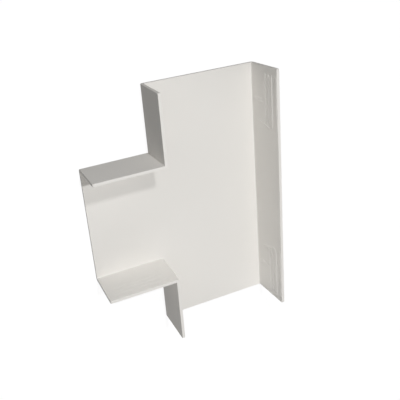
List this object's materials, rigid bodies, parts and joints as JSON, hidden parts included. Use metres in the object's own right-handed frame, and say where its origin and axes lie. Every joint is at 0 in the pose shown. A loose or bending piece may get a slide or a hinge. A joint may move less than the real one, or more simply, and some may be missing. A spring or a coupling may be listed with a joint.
{
  "type": "trunking tee fitting",
  "caption": "Clip-on flat tee cover for rectangular cable trunking: a tee-shaped face plate with upright side walls, open at its ends and on the wall side.",
  "frame": {"origin": "middle of the bounding box, on the outer side of the face plate", "axes": "+Y along the main run, the branch leaves towards -X, +Z from the face plate to the free edges of the walls; the part lies on its face with the open side up"},
  "size_m": [0.17, 0.23, 0.042],
  "materials": {
    "pvc": "satin"
  },
  "bodies": {
    "root": {"tee_cover": "pvc"}
  },
  "joints": []
}
